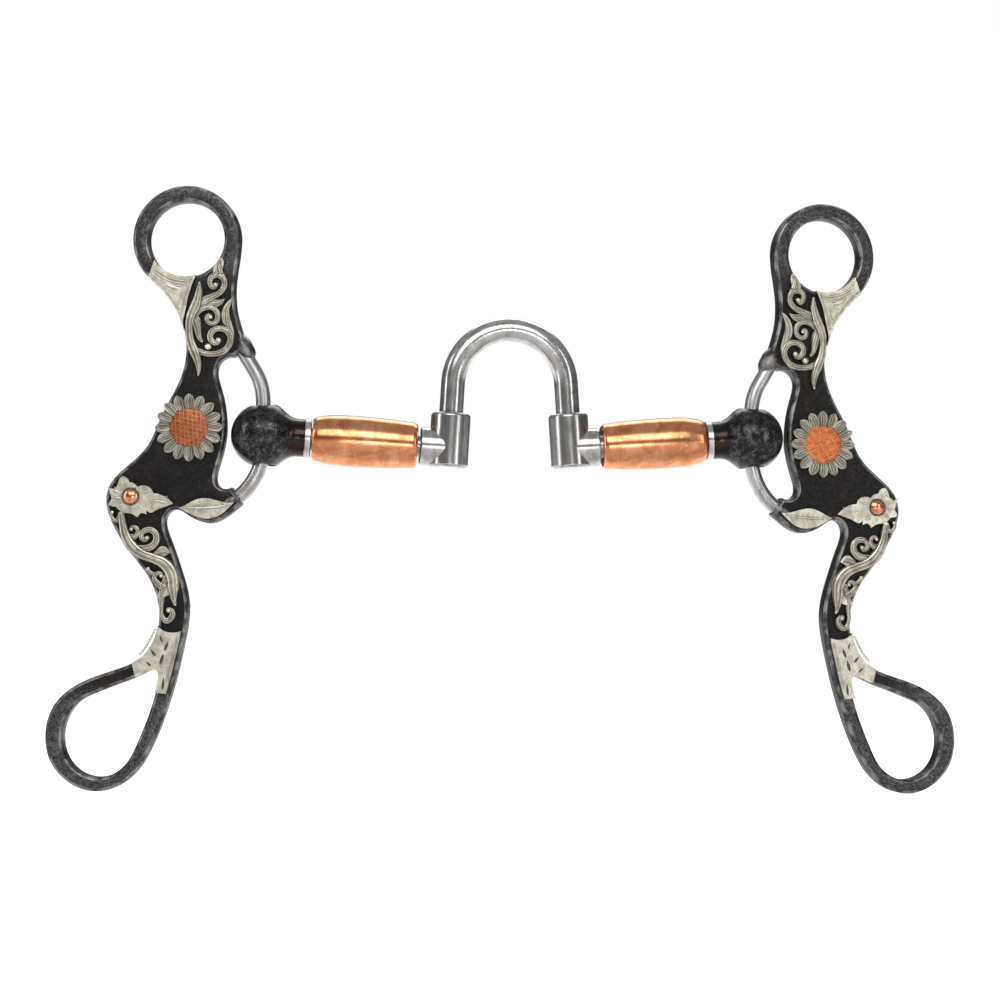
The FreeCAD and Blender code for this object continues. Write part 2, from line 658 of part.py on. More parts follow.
def ball_hub():
    """Ball and neck; the bore flares both ways so the ball can ride the bent rod."""
    nose = [(-BALL_R, 0.0)]
    for degrees in (22.5, 45.0, 67.5, 90.0):
        angle = math.radians(degrees)
        nose.append((-BALL_R * math.cos(angle), BALL_R * math.sin(angle)))
    body_line = nose + [
        (1.8, 8.5), (3.0, 8.35), (4.2, 7.8), (5.4, 6.8), (6.6, 5.9), (7.8, 5.3), (9.2, NECK_R),
        (NECK_END, NECK_R),
    ]
    profile = [
        body_line,
        [(NECK_END, NECK_R), (NECK_END, 0.0)],
        [(NECK_END, 0.0), (-BALL_R, 0.0)],
    ]
    body = turned(profile, HUB, BAR_IN)
    land = ROD_R + RUN_FIT
    reach = BALL_R + 0.6
    flare = turned(
        [[(0.0, 0.0), (0.0, land)],
         [(0.0, land), (LAND_HALF, land)],
         [(LAND_HALF, land), (reach, FLARE_R)],
         [(reach, FLARE_R), (reach, 0.0)],
         [(reach, 0.0), (0.0, 0.0)]], HUB, V(0, 0, 1))
    lower = flare.mirror(V(0, 0, 0), V(0, 0, 1))
    return body.cut(flare.fuse(lower))


def mouth_pieces():
    halves = {
        "elbow": elbow(),
        "bar_core": bar_core(),
        "collar": collar(),
        "copper_roller": copper_roller(),
        "ball_hub": ball_hub(),
    }
    pieces = {"port": port()}
    for name, shape in halves.items():
        pieces["right_" + name] = shape
        pieces["left_" + name] = shape.mirror(V(0, 0, 0), V(1, 0, 0))
    return pieces


def main():
    pieces = mouth_pieces()
    for side in SIDES:
        pieces.update(cheek_pieces(side))
    for name, shape in sorted(pieces.items()):
        solids = shape.Solids
        print(name, "solids", len(solids), "valid", shape.isValid(), "volume", round(shape.Volume, 2))
        shape.exportStep("parts/" + name + ".step")


main()
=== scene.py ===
# %% [markdown]
# # A western curb bit, finished in Blender
#
# The bit has two cheeks of antiqued steel with engraved German silver soldered on, a ball hub
# that each cheek swings on, two copper rollers, and a jointed steel port between them. The
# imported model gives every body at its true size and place. This lesson keeps those bodies,
# adds the silversmith's relief, and gives each metal its own finish.

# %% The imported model
import json
import math
from contextlib import contextmanager

import bpy
from mathutils import Matrix, Vector


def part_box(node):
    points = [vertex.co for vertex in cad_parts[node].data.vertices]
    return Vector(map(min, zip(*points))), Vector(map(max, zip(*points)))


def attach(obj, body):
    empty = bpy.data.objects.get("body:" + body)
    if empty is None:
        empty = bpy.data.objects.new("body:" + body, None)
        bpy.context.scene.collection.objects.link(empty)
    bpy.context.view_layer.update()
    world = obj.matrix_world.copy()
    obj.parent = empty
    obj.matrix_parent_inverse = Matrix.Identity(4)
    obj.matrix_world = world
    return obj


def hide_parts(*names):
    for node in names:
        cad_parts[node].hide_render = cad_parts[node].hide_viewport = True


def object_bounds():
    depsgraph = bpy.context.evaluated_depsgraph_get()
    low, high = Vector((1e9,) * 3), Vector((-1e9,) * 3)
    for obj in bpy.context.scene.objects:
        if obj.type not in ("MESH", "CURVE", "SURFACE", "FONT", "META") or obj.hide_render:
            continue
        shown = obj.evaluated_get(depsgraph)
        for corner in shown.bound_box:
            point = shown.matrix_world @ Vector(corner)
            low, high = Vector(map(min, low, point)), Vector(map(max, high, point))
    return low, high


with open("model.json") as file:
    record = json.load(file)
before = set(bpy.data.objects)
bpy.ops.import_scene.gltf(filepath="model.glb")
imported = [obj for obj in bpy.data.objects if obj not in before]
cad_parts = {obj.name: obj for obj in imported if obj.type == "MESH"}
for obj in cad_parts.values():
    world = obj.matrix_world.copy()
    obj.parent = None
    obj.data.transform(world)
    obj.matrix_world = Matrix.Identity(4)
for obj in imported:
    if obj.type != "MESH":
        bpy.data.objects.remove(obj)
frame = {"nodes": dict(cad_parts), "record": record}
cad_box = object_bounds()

SIDES = ("left", "right")
MM = 0.001
nodes = frame["nodes"]
mounts = {mount["name"]: mount for mount in frame["record"]["mounts"]}
print("size in mm:", [round((b - a) / MM, 1) for a, b in zip(*cad_box)])

# %% [markdown]
# A cheek is drawn on a flat bench and then laid on the bit. On the bench, X runs outwards
# from the bright rod, Y runs up and Z stands out of the decorated face. The headstall ring's
# hole tells where each cheek lies and how far it is splayed, so the bench needs nothing else.

# %% From the bench to a cheek
RING = Vector((20.5, 51.4, 0.0)) * MM      # the ring hole's centre, on the bench
FACE = 2.5 * MM                            # decorated face of the plate, on the bench
SILVER = FACE + 0.9 * MM                   # top of the silver overlays
SAME_SPOT = 0.0005 * MM                    # corners of a kept body closer than this are one


def lay(side):
    """Matrix that takes a piece from the bench to one cheek; the left cheek is mirrored."""
    ring = mounts[side + "_headstall_ring"]
    up, out = Vector((0, 0, 1)), Vector(ring["axis"])
    across = up.cross(out) * (1 if side == "right" else -1)
    start = Vector(ring["pos_m"]) - across * RING.x - up * RING.y
    turn = Matrix((across, up, out)).transposed().to_4x4()
    return Matrix.Translation(start) @ turn


def only(piece):
    """Select one piece and nothing else."""
    bpy.ops.object.select_all(action="DESELECT")
    piece.select_set(True)
    bpy.context.view_layer.objects.active = piece


@contextmanager
def editing(piece):
    """Edit mode with the whole of one piece selected."""
    only(piece)
    bpy.ops.object.mode_set(mode="EDIT")
    bpy.ops.mesh.select_all(action="SELECT")
    yield
    bpy.ops.object.mode_set(mode="OBJECT")


def turn_out(piece):
    """Make every face of a closed piece look outwards."""
    with editing(piece):
        bpy.ops.mesh.normals_make_consistent(inside=False)


def twin(piece, name):
    """Copy of a piece with its own mesh."""
    copy = piece.copy()
    copy.data = piece.data.copy()
    copy.name = copy.data.name = name
    copy.parent = None
    for key in list(copy.keys()):
        del copy[key]
    bpy.context.scene.collection.objects.link(copy)
    return copy


def merged_twin(node, name):
    """Copy of a kept body, with its loose triangles merged into one skin."""
    copy = twin(nodes[node], name)
    with editing(copy):
        bpy.ops.mesh.customdata_custom_splitnormals_clear()
        bpy.ops.mesh.remove_doubles(threshold=SAME_SPOT)
    return copy


def mount_on(piece, side, smooth=35):
    """Lay a finished bench piece on its cheek, smooth it and let it ride."""
    piece.data.transform(lay(side))
    turn_out(piece)
    bpy.ops.object.shade_smooth_by_angle(angle=math.radians(smooth))
    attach(piece, side + "_cheek")
    return piece


print("left cheek starts at", [round(c / MM, 2) for c in lay("left").translation])

# %% [markdown]
# The camera stands about 58 cm in front, a little to the left of the middle and low down, so
# the left cheek looks slightly larger than the right one. A short telephoto lens keeps the
# long mouthpiece from bulging.

# %% Camera
CAMERA_PLACE = Vector((-51.6, -575.0, -44.2)) * MM
CAMERA_TURN = -4.87                        # degrees to the right
CAMERA_TILT = 2.70                         # degrees upwards
LENS = 77.4                                # mm

bpy.ops.object.camera_add(location=CAMERA_PLACE)
camera = bpy.context.object
camera.name = "camera"
camera.rotation_euler = (math.radians(90 + CAMERA_TILT), 0, math.radians(CAMERA_TURN))
camera.data.lens = LENS
camera.data.clip_start, camera.data.clip_end = 0.01, 60
bpy.context.scene.camera = camera
print("camera distance mm:", round(CAMERA_PLACE.length / MM))

# %% [markdown]
# Shader maths is easier to read as sums. A `Wire` holds one socket, and each operator on it
# adds one Math node. A `Recipe` is a tree of nodes, and its `add` method makes any node from
# a type, its settings and its sockets. A `Finish` is the recipe of one material, with short
# words for the nodes that a metal finish uses again and again.


# %% Wires and finishes
class Wire:
    """One socket, which can be used in sums."""

    def __init__(self, finish, socket):
        self.finish, self.socket = finish, socket

    def sum(self, operation, *values):
        return self.finish.add("ShaderNodeMath", {"operation": operation}, dict(enumerate(values)))

    def __add__(self, other):
        return self.sum("ADD", self, other)

    def __sub__(self, other):
        return self.sum("SUBTRACT", self, other)

    def __rsub__(self, other):
        return self.sum("SUBTRACT", other, self)

    def __mul__(self, other):
        return self.sum("MULTIPLY", self, other)

    def __pow__(self, other):
        return self.sum("POWER", self, other)

    def most(self, other):
        return self.sum("MAXIMUM", self, other)

    __radd__, __rmul__ = __add__, __mul__


class Recipe:
    """A node tree, and the one way to add a node to it."""

    def __init__(self, tree):
        self.tree = tree

    def add(self, kind, settings=None, sockets=None, out=0):
        """Any node: its type, its settings, then the values or wires of its sockets."""
        made = self.tree.nodes.new(kind)
        for key, value in (settings or {}).items():
            if key == "stops":
                ends = made.color_ramp.elements
                for index, (place, shade) in enumerate(value):
                    stop = ends[index] if index < 2 else ends.new(place)
                    stop.position, stop.color = place, shade
            else:
                setattr(made, key, value)
        for key, value in (sockets or {}).items():
            if isinstance(value, Wire):
                self.tree.links.new(value.socket, made.inputs[key])
            else:
                made.inputs[key].default_value = value
        return Wire(self, made.outputs[out])

    def mix(self, share, low, high):
        """Colour between low and high."""
        return self.add("ShaderNodeMix", {"data_type": "RGBA"}, {0: share, 6: low, 7: high}, 2)

    def ramp(self, value, stops):
        """Colour ramp; its two ends come first in the list of stops."""
        return self.add("ShaderNodeValToRGB", {"stops": stops}, {0: value})


class Finish(Recipe):
    """A metal finish: one material, its nodes and its shader."""

    def __init__(self, name, **constants):
        self.material = bpy.data.materials.new(name)
        self.material.use_nodes = True
        super().__init__(self.material.node_tree)
        self.shader = self.tree.nodes["Principled BSDF"]
        for socket, value in constants.items():
            self.shader.inputs[socket.replace("_", " ")].default_value = value
        self.place = self.add("ShaderNodeTexCoord", out="Object")

    def noise(self, size, detail, stretch=(1, 1, 1), turn=(0, 0, 0), warp=0.0):
        """Cloudy pattern whose patches are about size mm across; stretch squeezes its axes."""
        spot = self.add("ShaderNodeMapping", None,
                        {"Vector": self.place, "Scale": stretch, "Rotation": turn})
        return self.add("ShaderNodeTexNoise", None,
                        {"Vector": spot, "Scale": 1000.0 / size, "Detail": detail, "Distortion": warp})

    def step(self, value, low, high):
        """0 up to low, 1 from high on, smooth between."""
        return self.add("ShaderNodeMapRange", {"interpolation_type": "SMOOTHSTEP"},
                        {0: value, 1: low, 2: high, 3: 0.0, 4: 1.0})

    def axis(self, letter):
        return self.add("ShaderNodeSeparateXYZ", None, {0: self.place}, letter)

    def crevice(self, reach):
        """1 in the open and near 0 deep in a groove, seen over reach mm; mixed into a colour, it paints
        shade.
        """
        return self.add("ShaderNodeAmbientOcclusion", {"samples": 6}, {"Distance": reach * MM}, "AO")

    def bump(self, height, depth, strength):
        made = self.add("ShaderNodeBump", None,
                        {"Height": height, "Distance": depth * MM, "Strength": strength})
        self.tree.links.new(made.socket, self.shader.inputs["Normal"])

    def feed(self, socket, wire):
        self.tree.links.new(wire.socket, self.shader.inputs[socket])


def grey(value, warm=0.0):
    return (value * (1 + warm), value, value * (1 - warm), 1.0)


print("finishes can be mixed")

# %% [markdown]
# The plates are carbon steel, browned and then blackened behind the silver. The inlaid body
# is nearly black with a brown cast, and the ring and the rein loop are rubbed back to a
# mottled grey. Height on the cheek decides which, and noise breaks both up. A node that looks
# into crevices darkens the steel beside the silver and in corners: partly black that a cloth
# can't reach, partly painted shade. The plate's walls get a darker, hardly rubbed copy of the
# finish, which is painted shade.

# %% Antiqued steel
RING_FOOT = 38 * MM                        # height where the ring's rubbed grey starts
LOOP_TOP = -64 * MM                        # and the rein loop's


def antiqued_steel(name, wear):
    """wear is how much of the black is rubbed off the ring and the rein loop; the walls' low wear is
    painted shade.
    """
    made = Finish(name, Metallic=0.75)
    height = made.axis("Z")
    rubbed = made.step(height, RING_FOOT, RING_FOOT + 10 * MM) * 0.62
    rubbed = rubbed.most(made.step(0 - height, -LOOP_TOP, -LOOP_TOP + 8 * MM)) * wear
    cloud = made.noise(5.0, 5.0)
    grain = made.noise(0.55, 6.0, warp=0.6)
    fleck = made.step(grain, 0.50, 0.70)
    black = made.mix(made.step(cloud, 0.44, 0.70), grey(0.008), (0.021, 0.014, 0.012, 1))
    black = made.mix(fleck * 0.22, black, grey(0.10, 0.06))
    worn = made.mix(made.step(grain, 0.36, 0.66), grey(0.026), grey(0.145, 0.02))
    worn = made.mix(made.step(cloud, 0.40, 0.62) * 0.45, worn, grey(0.035, 0.10))
    coat = made.mix(rubbed, black, worn)
    # painted shade: darker beside the silver and in corners, partly black that a cloth can't reach
    coat = made.mix(made.crevice(2.2), grey(0.006), coat)
    made.feed("Base Color", coat)
    made.feed("Roughness", 0.36 - fleck * 0.12 + cloud * 0.1)
    made.bump(grain + cloud * 0.5, 0.10, 0.55)
    return made.material


def filed_edge():
    """The bevel round the plate, filed and then rubbed bright again by handling."""
    made = Finish("filed edge", Metallic=0.9)
    rub = made.noise(3.0, 5.0)
    scratch = made.noise(0.35, 4.0, warp=0.4)
    coat = made.mix(made.step(rub, 0.36, 0.66), grey(0.045), grey(0.27, 0.02))
    coat = made.mix(made.step(scratch, 0.55, 0.75) * 0.5, coat, grey(0.42))
    made.feed("Base Color", coat)
    made.feed("Roughness", 0.30 + rub * 0.18)
    made.bump(scratch, 0.05, 0.5)
    return made.material


PLATE_STEEL = antiqued_steel("antiqued steel", 1.0)
# painted shade: the walls take a darker copy of the plate finish, rubbed only 0.12 as much
SHADED_WALL_STEEL = antiqued_steel("wall with painted shade", 0.12)
EDGE_STEEL = filed_edge()
print("plate finishes:", PLATE_STEEL.name, EDGE_STEEL.name, SHADED_WALL_STEEL.name)

# %% [markdown]
# The ball hubs are turned from the same steel and left with a scaly black skin: grey specks
# on black, with a brown-black polish on the neck where the cheek's loop rubs.


# %% Scaled steel of the hubs
def scaled_steel():
    made = Finish("scaled steel", Metallic=0.85)
    scale = made.noise(1.5, 6.0, warp=1.0)
    speck = made.noise(0.42, 5.0, warp=0.5)
    side = made.axis("X")
    reach = side.sum("ABSOLUTE", side)
    neck = made.step(0 - reach, -60.5 * MM, -58.2 * MM)
    skin = made.mix(made.step(scale, 0.44, 0.70), grey(0.020), grey(0.095, -0.05))
    skin = made.mix(made.step(speck, 0.60, 0.76) * 0.45, skin, grey(0.40))
    smoke = made.mix(made.step(scale, 0.40, 0.66), grey(0.016), (0.048, 0.026, 0.018, 1))
    made.feed("Base Color", made.mix(neck, skin, smoke))
    made.feed("Roughness", 0.22 - neck * 0.08 + speck * 0.10)
    made.bump(scale + speck * 0.5, 0.10, 0.4)
    return made.material


HUB_STEEL = scaled_steel()
print("hub finish:", HUB_STEEL.name)

# %% [markdown]
# The rod, the port and the elbows are bright steel, worked with an abrasive belt and then
# buffed. Fine scratches run along the wire, which noise stretched on one axis gives. A faint
# warm stain keeps it from looking like new chrome.


# %% Bright steel
def bright_steel(name, run, base=0.50, rough=0.20):
    """run squeezes the scratches' axes: a small number is the direction they follow."""
    made = Finish(name, Metallic=1.0)
    line = made.noise(0.22, 3.0, stretch=run)
    band = made.noise(1.6, 3.0, stretch=run)
    stain = made.noise(6.0, 5.0)
    pit = made.noise(0.9, 2.0)
    coat = made.mix(made.step(band, 0.34, 0.66), grey(base * 0.80, 0.03), grey(base * 1.16, 0.01))
    coat = made.mix(made.step(line, 0.52, 0.78) * 0.35, coat, grey(base * 0.5, 0.05))
    coat = made.mix(made.step(stain, 0.52, 0.72) * 0.4, coat, grey(base * 0.62, 0.10))
    coat = made.mix(made.step(pit, 0.70, 0.76) * 0.7, coat, grey(0.05, 0.15))
    # painted shade: darker in crevices and where the steel meets other parts
    coat = made.mix(made.crevice(1.2) ** 0.7, grey(0.02, 0.1), coat)
    made.feed("Base Color", coat)
    made.feed("Roughness", rough + line * 0.10)
    made.bump(line + band * 0.4, 0.035, 0.5)
    return made.material


ROD_STEEL = bright_steel("rod steel", (1, 1, 0.04), 0.44, 0.27)
PORT_STEEL = bright_steel("port steel", (0.5, 1, 0.5), 0.50, 0.17)
ELBOW_STEEL = bright_steel("elbow steel", (1, 1, 0.1), 0.46, 0.17)
COLLAR_STEEL = bright_steel("collar steel", (1, 0.2, 0.2), 0.60, 0.20)
print("bright steels: 4")

# %% [markdown]
# German silver is a nickel brass: it is cream rather than white, and it is never as sharp a
# mirror as the real metal. The engraver's cuts hold dark polish, and the crevice node darkens
# them and the foot of every relief: partly that polish, partly painted shade. A very fine
# directional grain stands for the file and the polishing stick.


# %% German silver
def german_silver():
    made = Finish("german silver", Metallic=0.92)
    grain = made.noise(0.16, 3.0, stretch=(1, 1, 0.25), turn=(0, 0.5, 0))
    cloud = made.noise(2.4, 5.0, warp=0.8)
    coat = made.mix(made.step(cloud, 0.34, 0.68), (0.52, 0.485, 0.39, 1), (0.80, 0.765, 0.64, 1))
    coat = made.mix(made.step(grain, 0.50, 0.72) * 0.25, coat, (0.24, 0.21, 0.155, 1))
    # painted shade: darker in grooves and at each relief's foot, partly dark polish in the cuts
    coat = made.mix(made.crevice(1.1) ** 3.2, (0.030, 0.023, 0.015, 1), coat)
    made.feed("Base Color", coat)
    made.feed("Roughness", 0.27 + grain * 0.10 + cloud * 0.08)
    made.bump(grain + cloud * 0.5, 0.03, 0.45)
    return made.material


def dark_cut():
    """Blackened floor of a graver's cut."""
    made = Finish("blackened cut", Metallic=0.4, Roughness=0.6)
    soot = made.noise(0.4, 4.0)
    made.feed("Base Color", made.mix(made.step(soot, 0.4, 0.65), grey(0.02, 0.1), (0.16, 0.14, 0.10, 1)))
    made.bump(soot, 0.04, 0.5)
    return made.material


GERMAN_SILVER = german_silver()
DARK_CUT = dark_cut()
print("silver finish:", GERMAN_SILVER.name)

# %% [markdown]
# Copper appears three times: as the polished rollers in the mouth, as small glossy beads on
# the knee, and as the sunflowers' middles, which are scored with a graver in a loose lattice.
# The rollers carry round-and-round polishing lines and tiny bright nicks.


# %% Copper
def roller_copper():
    made = Finish("roller copper", Metallic=1.0)
    line = made.noise(0.30, 3.0, stretch=(1, 0.06, 0.06))
    cloud = made.noise(4.0, 5.0, warp=0.6)
    nick = made.noise(0.7, 2.0)
    coat = made.mix(made.step(cloud, 0.36, 0.66), (0.60, 0.225, 0.095, 1), (0.80, 0.365, 0.19, 1))
    coat = made.mix(made.step(line, 0.50, 0.76) * 0.4, coat, (0.42, 0.13, 0.045, 1))
    coat = made.mix(made.step(nick, 0.68, 0.74) * 0.7, coat, (1.0, 0.80, 0.62, 1))
    made.feed("Base Color", coat)
    made.feed("Roughness", 0.16 + line * 0.12)
    made.bump(line + cloud * 0.4, 0.05, 0.5)
    return made.material


LINES_1_MM = 314.0                         # scale at which a wave's lines are 1 mm apart


def scored_copper(name, angles, spacing, light, dark):
    """Copper with a lattice of bright scratches; one set of lines for each angle."""
    made = Finish(name, Metallic=0.75)
    lines = None
    for angle in angles:
        spot = made.add("ShaderNodeMapping", None,
                        {"Vector": made.place, "Rotation": (0, math.radians(angle), 0)})
        wave = made.add("ShaderNodeTexWave", {"bands_direction": "X"},
                        {"Vector": spot, "Scale": LINES_1_MM / spacing, "Distortion": 1.6,
                         "Detail": 2.0, "Detail Scale": 0.35})
        cut = made.step(wave, 0.86, 0.99)
        lines = cut if lines is None else lines.most(cut)
    cloud = made.noise(0.8, 5.0, warp=0.8)
    coat = made.mix(made.step(cloud, 0.36, 0.64), dark, light)
    coat = made.mix(lines * 0.42, coat, (0.70, 0.34, 0.18, 1))
    # painted shade: darker in crevices and where the disc meets other parts
    coat = made.mix(made.crevice(0.9), (0.05, 0.02, 0.01, 1), coat)
    made.feed("Base Color", coat)
    made.feed("Roughness", 0.46 - lines * 0.14)
    made.bump(cloud * 0.6 - lines, 0.10, 0.8)
    return made.material


def bead_copper():
    made = Finish("bead copper", Metallic=1.0)
    blush = made.noise(1.2, 4.0)
    coat = made.mix(made.step(blush, 0.35, 0.65), (0.62, 0.22, 0.10, 1), (0.85, 0.40, 0.24, 1))
    made.feed("Base Color", coat)
    made.feed("Roughness", 0.16 + blush * 0.12)
    return made.material


ROLLER_COPPER = roller_copper()
DISC_COPPER = {
    "left": scored_copper("left scored copper", (4, 78), 1.10,
                          (0.40, 0.115, 0.042, 1), (0.20, 0.050, 0.019, 1)),
    "right": scored_copper("right scored copper", (34, 116), 1.75,
                           (0.66, 0.19, 0.06, 1), (0.38, 0.09, 0.024, 1)),
}
BEAD_COPPER = bead_copper()
print("copper finishes: 4")

# %% [markdown]
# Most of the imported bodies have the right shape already, so they are kept and only get their
# finish. The silver overlays are kept too, as the sheet that the relief is raised from.



# %% Finishes on the kept bodies
def dress(node, material):
    """Give a kept body one finish all over."""
    nodes[node].data.materials.clear()
    nodes[node].data.materials.append(material)


dress("port", PORT_STEEL)
for side in SIDES:
    dress(side + "_elbow", ELBOW_STEEL)
    dress(side + "_bar_core", COLLAR_STEEL)
    dress(side + "_collar", COLLAR_STEEL)
    dress(side + "_ball_hub", HUB_STEEL)
    dress(side + "_copper_roller", ROLLER_COPPER)
    dress(side + "_loop_rod", ROD_STEEL)
    dress(side + "_sunflower_disc", DISC_COPPER[side])
    dress(side + "_knee_bead", BEAD_COPPER)
    for name in ("neck_scroll", "shank_scroll", "lug_leaf", "knee_flower", "ring_panel",
                 "rein_panel", "sunflower_petals"):
        dress(side + "_" + name, GERMAN_SILVER)
print("dressed nodes:", len(nodes))

# %% [markdown]
# The plate's own outline is right, but its bevels should catch the light as rounded, filed
# edges, and they need a finish of their own. A copy of the plate gets its loose triangles
# merged, its flats, bevels and walls told apart by the slope of their normals, and normals
# weighted by face size, so that the flats stay flat and only the bevels roll over.

# %% Cheek plates
BEVEL_SLOPE = (0.30, 0.93)                 # a bevel's slope: 0 on a wall, 1 on the flat
PLATE_FINISHES = (PLATE_STEEL, EDGE_STEEL, SHADED_WALL_STEEL)
FLAT, BEVEL, WALL = range(3)               # places in the list of finishes


def cheek_plate(side):
    plate = merged_twin(side + "_cheek_plate", side + "_plate")
    out = Vector(mounts[side + "_headstall_ring"]["axis"])
    plate.data.materials.clear()
    for finish in PLATE_FINISHES:
        plate.data.materials.append(finish)
    low, high = BEVEL_SLOPE
    for face in plate.data.polygons:
        slope = abs(face.normal.dot(out))
        face.material_index = WALL if slope <= low else BEVEL if slope < high else FLAT
    bpy.ops.object.shade_smooth_by_angle(angle=math.radians(62))
    weigh = plate.modifiers.new("weigh", "WEIGHTED_NORMAL")
    weigh.keep_sharp = True
    weigh.weight = 100
    bpy.ops.object.modifier_apply(modifier=weigh.name)
    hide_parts(side + "_cheek_plate")
    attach(plate, side + "_cheek")
    return plate


for side in SIDES:
    made = cheek_plate(side)
    print(made.name, "faces:", len(made.data.polygons))

# %% [markdown]
# The silver scrolls are cut from sheet and then carved: each stem has two raised, polished
# rims with a darker valley between them. That is one section swept along many lines, so it
# is made once, as a closed curve, and the width at each point swells or thins it. Narrow
# volutes come out lower than wide stems, as they do under a graver.


# %% Sections for the relief
def section(name, outline):
    """Closed profile, one millimetre wide, for sweeping along relief lines."""
    bpy.ops.curve.primitive_bezier_circle_add(radius=MM)
    made = bpy.context.object
    made.name = name
    made.data.splines.clear()
    run = made.data.splines.new("POLY")
    run.points.add(len(outline) - 1)
    for knot, (across, high) in zip(run.points, outline):
        knot.co = (across * MM, high * MM, 0, 1)
    run.use_cyclic_u = True
    return made


def mirrored(half):
    """Both halves of a profile from its right half, listed from the middle out."""
    return [(-across, high) for across, high in reversed(half)] + half


CARVED = section("carved section", mirrored(
    [(0.05, 0.05), (0.17, 0.02), (0.25, 0.12), (0.35, 0.21), (0.44, 0.17), (0.50, -0.02),
     (0.50, -0.25)]))
PETAL = section("petal section", mirrored(
    [(0.03, 0.15), (0.16, 0.02), (0.27, 0.04), (0.36, 0.19), (0.43, 0.20), (0.49, 0.06), (0.50, -0.25)]))
RIDGE = section("ridge section", mirrored([(0.10, 0.42), (0.34, 0.30), (0.50, -0.02), (0.50, -0.5)]))


def sweep(name, lines, shape, base=SILVER, steps=4):
    """Sweep a section along smooth lines; each line has (x, y) points in mm and widths in mm."""
    bpy.ops.object.select_all(action="DESELECT")
    bpy.ops.curve.primitive_bezier_curve_add()
    made = bpy.context.object
    made.name = name
    curve = made.data
    curve.splines.clear()
    curve.dimensions = "3D"
    curve.twist_mode = "Z_UP"
    for points, widths in lines:
        run = curve.splines.new("BEZIER")
        run.bezier_points.add(len(points) - 1)
        run.resolution_u = steps
        for knot, (x, y), width in zip(run.bezier_points, points, widths):
            knot.co = (x * MM, y * MM, base)
            knot.handle_left_type = knot.handle_right_type = "AUTO"
            knot.radius = width
    curve.bevel_mode = "OBJECT"
    curve.bevel_object = shape
    curve.use_fill_caps = True
    only(made)
    bpy.ops.object.convert(target="MESH")
    made = bpy.context.object
    with editing(made):
        bpy.ops.mesh.remove_doubles(threshold=0.002 * MM)
    made.data.materials.clear()
    made.data.materials.append(GERMAN_SILVER)
    return made


def joined(name, pieces):
    """Several bench pieces as one."""
    bpy.ops.object.select_all(action="DESELECT")
    for piece in pieces:
        piece.select_set(True)
    bpy.context.view_layer.objects.active = pieces[0]
    bpy.ops.object.join()
    pieces[0].name = pieces[0].data.name = name
    return pieces[0]


def even(points, width):
    """A line of constant width whose two ends run out to a point."""
    return points, [width * 0.35] + [width] * (len(points) - 2) + [width * 0.35]


print("sections:", CARVED.name, PETAL.name, RIDGE.name)

# %% [markdown]
# A volute ends in a round eye, and small silver beads sit in the forks. Both are domes: a
# sphere is squashed and its lower part is bisected away, and the dome is copied to each spot.


# %% Domes
DOME_RISE = 0.62                           # a dome's height, as a share of its radius


def domes(name, spots):
    """Low domes at (x, y, radius) in mm."""
    bpy.ops.object.select_all(action="DESELECT")
    bpy.ops.mesh.primitive_uv_sphere_add(segments=20, ring_count=12, radius=MM)
    master = bpy.context.object
    with editing(master):
        bpy.ops.transform.resize(value=(1, 1, DOME_RISE))
        bpy.ops.mesh.bisect(plane_co=(0, 0, -0.15 * MM), plane_no=(0, 0, 1),
                            use_fill=True, clear_inner=True)
    master.data.materials.append(GERMAN_SILVER)
    made = []
    for x, y, radius in spots:
        dome = twin(master, name)
        dome.data.transform(Matrix.Translation((x * MM, y * MM, SILVER)) @ Matrix.Scale(radius, 4))
        made.append(dome)
    bpy.data.objects.remove(master)
    return joined(name, made)


print("a dome is", DOME_RISE, "of its radius high")

# %% [markdown]
# The neck scroll is a tall crescent with three volutes and two thorns, growing from a leaf
# that hangs down towards the sunflower. The stems follow the overlay's own middle lines.

# %% Neck scroll
CRESCENT = ([(16.8, 39.2), (16.9, 36.6), (17.7, 33.4), (19.0, 30.4), (19.4, 27.0), (19.0, 23.6),
             (17.8, 20.6), (17.0, 17.8), (16.9, 15.2)],
            [0.5, 1.7, 2.6, 2.3, 1.9, 2.1, 2.4, 1.4, 0.4])
TOP_VOLUTE = ([(15.6, 34.4), (13.4, 35.6), (11.1, 36.9), (10.0, 39.3), (11.2, 41.3), (13.1, 41.2),
               (13.9, 39.6), (13.0, 38.2), (12.2, 38.9)],
              [2.1, 1.6, 1.4, 1.3, 1.5, 1.4, 1.3, 1.2, 0.9])
MIDDLE_VOLUTE = ([(17.6, 31.2), (15.6, 32.7), (13.4, 32.8), (11.9, 31.4), (11.9, 29.5), (13.3, 28.5),
                  (14.6, 29.4), (14.3, 30.6), (13.5, 30.3)],
                 [1.6, 1.5, 1.3, 1.3, 1.3, 1.2, 1.1, 1.0, 0.7])
LOW_VOLUTE = ([(17.4, 21.3), (14.8, 20.5), (11.9, 20.5), (9.4, 21.8), (8.3, 24.2), (9.1, 26.3),
               (11.3, 27.2), (13.4, 26.2), (13.6, 24.3), (12.3, 23.3), (11.3, 24.1)],
              [1.5, 1.4, 1.4, 1.5, 1.6, 1.5, 1.4, 1.5, 1.5, 1.4, 0.9])
NECK_LEAVES = [
    ([(18.0, 29.8), (17.2, 27.6), (16.9, 25.6), (16.1, 24.1)], [1.9, 1.8, 1.3, 0.6]),
    ([(11.2, 41.8), (11.6, 43.6), (11.1, 45.6)], [1.9, 1.3, 0.3]),
    ([(8.2, 34.6), (9.4, 31.8), (9.2, 28.6), (8.1, 25.0)], [0.3, 1.3, 1.3, 0.5]),
    ([(13.4, 34.0), (11.9, 34.1), (10.3, 34.8)], [1.5, 1.1, 0.3]),
]
NECK_EYES = [(12.45, 38.85, 0.62), (13.65, 30.2, 0.58), (11.55, 24.05, 0.72), (14.3, 22.3, 0.92)]


